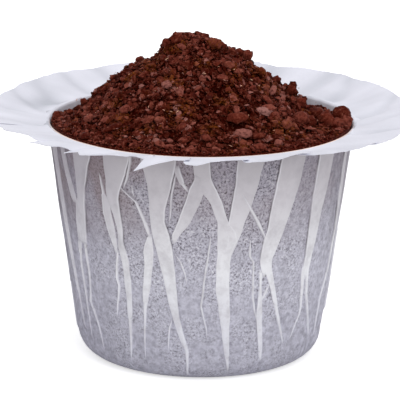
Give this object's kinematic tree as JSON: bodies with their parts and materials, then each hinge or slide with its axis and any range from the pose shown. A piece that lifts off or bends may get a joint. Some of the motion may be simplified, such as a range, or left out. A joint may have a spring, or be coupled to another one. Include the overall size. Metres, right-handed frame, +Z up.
{
  "type": "single-serve pod filter",
  "caption": "Pleated paper filter cup with a wide ragged brim, heaped with ground coffee, for a refillable single-serve brewer pod.",
  "frame": {"origin": "centre of the flat base, on the surface that the cup stands on", "axes": "+Z up along the cup's axis, -Y towards the side that the picture shows, +X to that side's right"},
  "size_m": [0.0629, 0.0618, 0.0481],
  "materials": {
    "filter_paper": "thin creped filter paper, matt, slightly translucent",
    "ground_coffee": "coarse dark roast grounds, matt with a few dull glints"
  },
  "bodies": {
    "root": {"paper_filter": "filter_paper", "coffee_grounds": "ground_coffee"}
  },
  "joints": []
}
